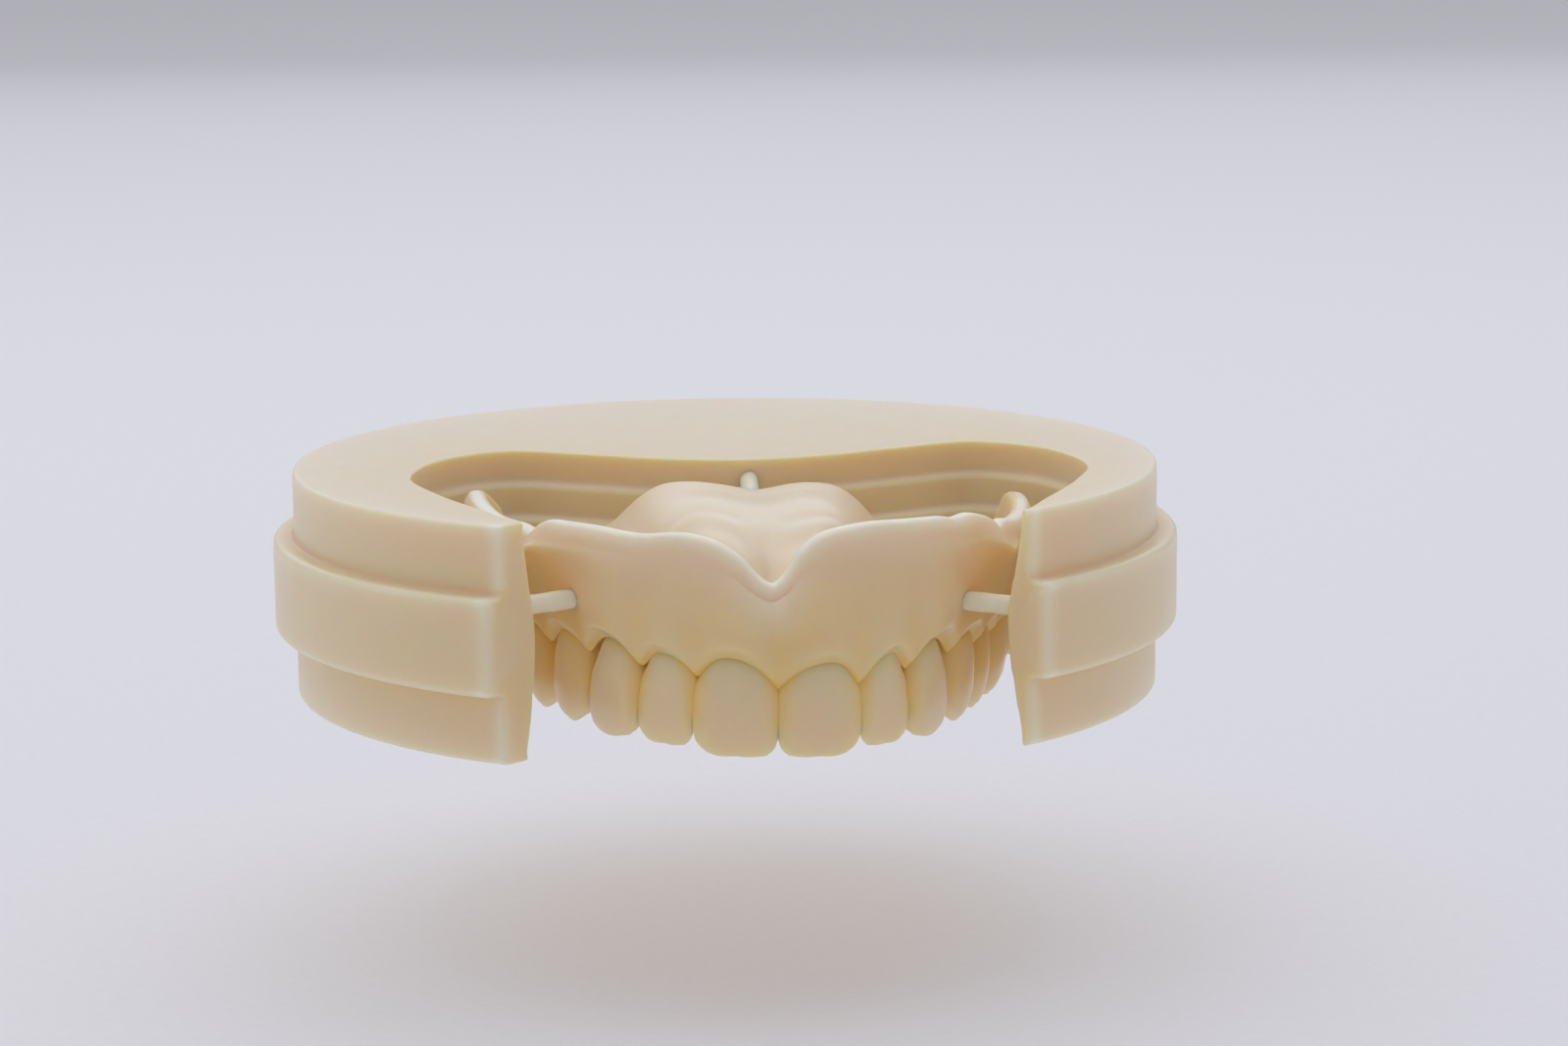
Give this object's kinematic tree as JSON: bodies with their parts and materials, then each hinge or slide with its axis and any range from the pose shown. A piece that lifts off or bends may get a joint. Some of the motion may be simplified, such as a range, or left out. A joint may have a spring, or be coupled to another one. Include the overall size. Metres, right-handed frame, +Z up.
{
  "type": "dental milling disc with milled upper denture",
  "caption": "Stepped round dental milling disc, front cut open, holding a full upper denture, teeth down, on thin connector pins.",
  "frame": {"origin": "centre of the bounding box in plan, on the plane of the disc's bottom face", "axes": "+Z up along the disc's axis, out of the side that the denture's fitting surface faces; the open front and the front teeth face -Y; +X to the right as seen from the front"},
  "size_m": [0.0984, 0.0912, 0.0242],
  "materials": {
    "disc_resin": "satin",
    "base_resin": "satin",
    "tooth_resin": "satin"
  },
  "bodies": {
    "root": {"disc_ring": "disc_resin", "denture_base": "base_resin", "connector_front_left": "disc_resin", "connector_front_right": "disc_resin", "connector_rear": "disc_resin", "central_incisor_left": "tooth_resin", "central_incisor_right": "tooth_resin", "lateral_incisor_left": "tooth_resin", "lateral_incisor_right": "tooth_resin", "canine_left": "tooth_resin", "canine_right": "tooth_resin", "first_premolar_left": "tooth_resin", "first_premolar_right": "tooth_resin", "second_premolar_left": "tooth_resin", "second_premolar_right": "tooth_resin", "first_molar_left": "tooth_resin", "first_molar_right": "tooth_resin", "second_molar_left": "tooth_resin", "second_molar_right": "tooth_resin"}
  },
  "joints": []
}
